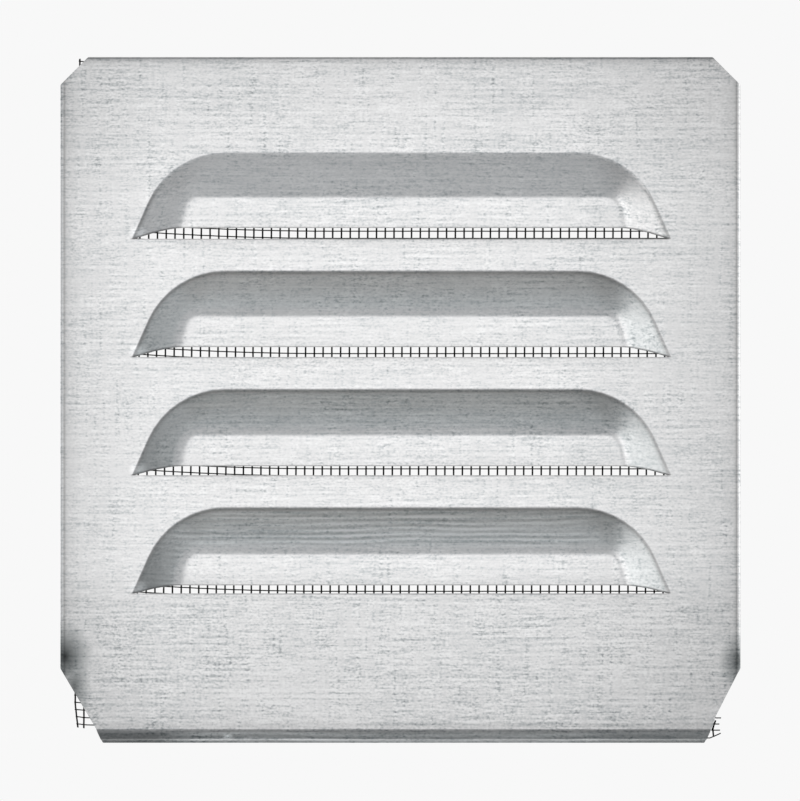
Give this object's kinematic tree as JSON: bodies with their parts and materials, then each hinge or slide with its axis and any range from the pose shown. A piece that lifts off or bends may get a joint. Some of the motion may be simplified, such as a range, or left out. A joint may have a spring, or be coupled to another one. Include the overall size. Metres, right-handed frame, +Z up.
{
  "type": "louvred vent panel",
  "caption": "Square folded sheet metal wall vent with pressed louvre hoods open at the bottom, hemmed edges and a woven insect mesh trapped behind.",
  "frame": {"origin": "middle of the back face of the top hem, on the plane of the wall", "axes": "+X to the right seen from the front, +Y into the wall, +Z up"},
  "size_m": [0.2, 0.0118, 0.2015],
  "materials": {
    "galvanised_sheet": "satin galvanised",
    "mesh_wire": "dark woven wire"
  },
  "bodies": {
    "root": {"louvred_panel": "galvanised_sheet", "insect_mesh": "mesh_wire"}
  },
  "joints": []
}
